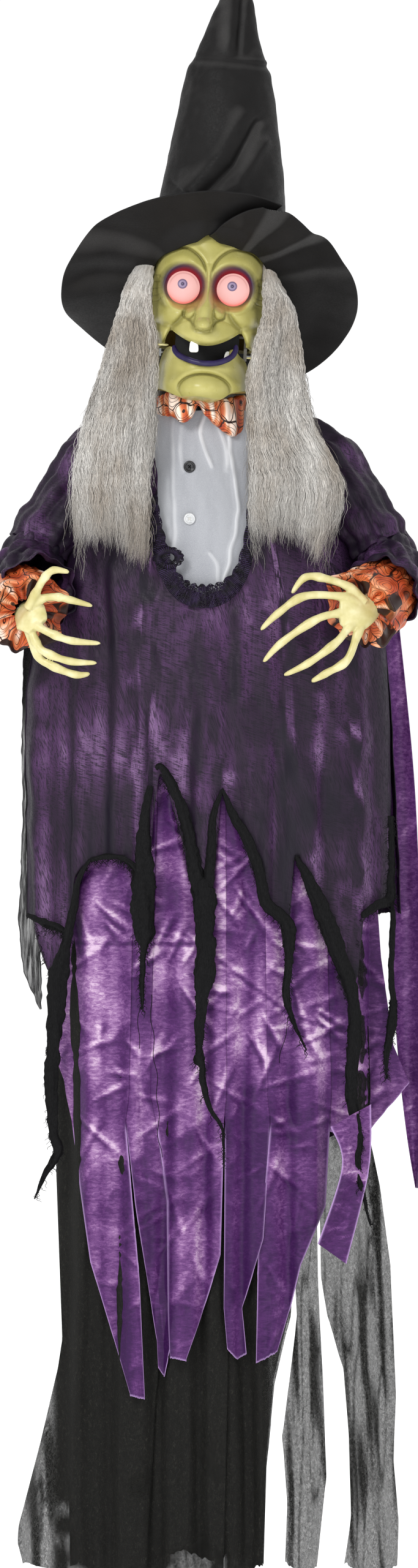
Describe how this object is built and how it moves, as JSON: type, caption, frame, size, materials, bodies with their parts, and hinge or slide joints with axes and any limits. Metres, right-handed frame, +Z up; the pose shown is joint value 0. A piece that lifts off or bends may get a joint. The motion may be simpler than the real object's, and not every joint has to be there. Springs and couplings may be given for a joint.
{
  "type": "animated witch figure",
  "caption": "Hanging animated witch figure with a geared opening jaw, lit eyes, bendable wire arms, a control box in the chest, a pointed hat and layered cloth skirts",
  "frame": {"origin": "the bearing point of the hanging eye, at the top of the inside of its ring, above the neck and behind the hat", "axes": "+Z is up; the figure faces -Y, so +Y is its back; +X is the figure's own left"},
  "size_m": [0.4941, 0.2607, 1.8288],
  "materials": {
    "skin": "semi-gloss airbrushed plastic, olive green",
    "lip": "semi-gloss painted plastic, dark purple",
    "tooth": "glossy white plastic",
    "lit_eye": "translucent plastic lit from behind",
    "pupil": "printed ring on clear plastic",
    "black_plastic": "matt black plastic",
    "steel": "bright steel",
    "white_plastic": "natural moulded plastic",
    "board": "green circuit board",
    "battery": null,
    "hair": "crimped grey synthetic hair",
    "hat_cloth": "black satin-faced twill",
    "web_print": "orange satin printed with fine black web lines",
    "shirt_cloth": "pale grey satin with a watery sheen",
    "lace": "open black lace",
    "robe_cloth": "dark purple satin under crinkled black gauze",
    "satin": "bright purple satin with fold creases",
    "gauze": "thin black non-woven cloth and gauze",
    "bone": "pale bone-coloured plastic"
  },
  "bodies": {
    "figure": {"head_front_shell": "skin", "head_rear_shell": "skin", "left_eye_dome": "lit_eye", "left_pupil_disc": "pupil", "right_eye_dome": "lit_eye", "right_pupil_disc": "pupil", "eye_light_board": "board", "mouth_liner": "black_plastic", "upper_tooth": "tooth", "left_jaw_pin": "steel", "right_jaw_pin": "steel", "jaw_motor": "steel", "jaw_motor_bracket": "black_plastic", "neck_tube": "black_plastic", "hat_crown": "hat_cloth", "hat_brim": "hat_cloth", "hanging_eye_rod": "steel", "shoulder_bar": "black_plastic", "control_box_casing": "black_plastic", "control_box_cover": "black_plastic", "speaker": "steel", "circuit_board": "board", "battery_1": "battery", "battery_2": "battery", "battery_3": "battery", "wiring_loom": "black_plastic", "hair_hank_right": "hair", "hair_hank_left": "hair", "hair_nape": "hair", "robe_front": "robe_cloth", "robe_back": "robe_cloth", "satin_skirt_front": "satin", "satin_skirt_back": "satin", "black_skirt_front": "gauze", "black_skirt_back": "gauze", "shirt_front": "shirt_cloth", "upper_shirt_button": "black_plastic", "lower_shirt_button": "black_plastic", "neckline_lace": "lace", "neck_ruffle": "web_print", "side_drape_right": "gauze", "side_drape_left": "satin"},
    "jaw": {"jaw_shell": "skin", "lower_lip": "lip", "lower_tooth": "tooth", "jaw_sector_gear": "white_plastic"},
    "pinion": {"jaw_pinion": "white_plastic"},
    "battery_door": {"battery_door": "black_plastic"},
    "power_switch": {"power_switch": "white_plastic"},
    "left_upper_arm": {"left_upper_arm_wire": "steel", "left_upper_sleeve": "robe_cloth"},
    "left_forearm": {"left_forearm_wire": "steel", "left_cuff": "web_print", "left_hand": "bone"},
    "right_upper_arm": {"right_upper_arm_wire": "steel", "right_upper_sleeve": "robe_cloth"},
    "right_forearm": {"right_forearm_wire": "steel", "right_cuff": "web_print", "right_hand": "bone"}
  },
  "joints": [
    {"name": "jaw_hinge", "type": "hinge", "parent": "figure", "child": "jaw", "pos_m": [-0.00277, -0.057, -0.31814], "axis": [0.9986, 0, -0.0523], "range_deg": [-7, 8]},
    {"name": "jaw_pinion_spin", "type": "hinge", "parent": "figure", "child": "pinion", "pos_m": [-0.00166, -0.03579, -0.29695], "axis": [0.9986, 0, -0.0523], "range_deg": [-34, 34]},
    {"name": "battery_door_slide", "type": "slide", "parent": "figure", "child": "battery_door", "axis": [0, 0, -1], "range_m": [0, 0.06]},
    {"name": "power_switch_slide", "type": "slide", "parent": "figure", "child": "power_switch", "axis": [0, 0, 1], "range_m": [-0.006, 0]},
    {"name": "left_shoulder", "type": "hinge", "parent": "figure", "child": "left_upper_arm", "pos_m": [0.146, -0.02, -0.42], "axis": [0, -1, 0], "range_deg": [0, 40]},
    {"name": "left_elbow", "type": "hinge", "parent": "left_upper_arm", "child": "left_forearm", "pos_m": [0.222, -0.035, -0.552], "axis": [0, 0, 1], "range_deg": [0, 50]},
    {"name": "right_shoulder", "type": "hinge", "parent": "figure", "child": "right_upper_arm", "pos_m": [-0.146, -0.02, -0.42], "axis": [0, 1, 0], "range_deg": [0, 40]},
    {"name": "right_elbow", "type": "hinge", "parent": "right_upper_arm", "child": "right_forearm", "pos_m": [-0.222, -0.035, -0.552], "axis": [0, 0, -1], "range_deg": [0, 50]}
  ],
  "couplings": [
    {"joint": "jaw_pinion_spin", "follows": "jaw_hinge", "ratio": -4}
  ]
}
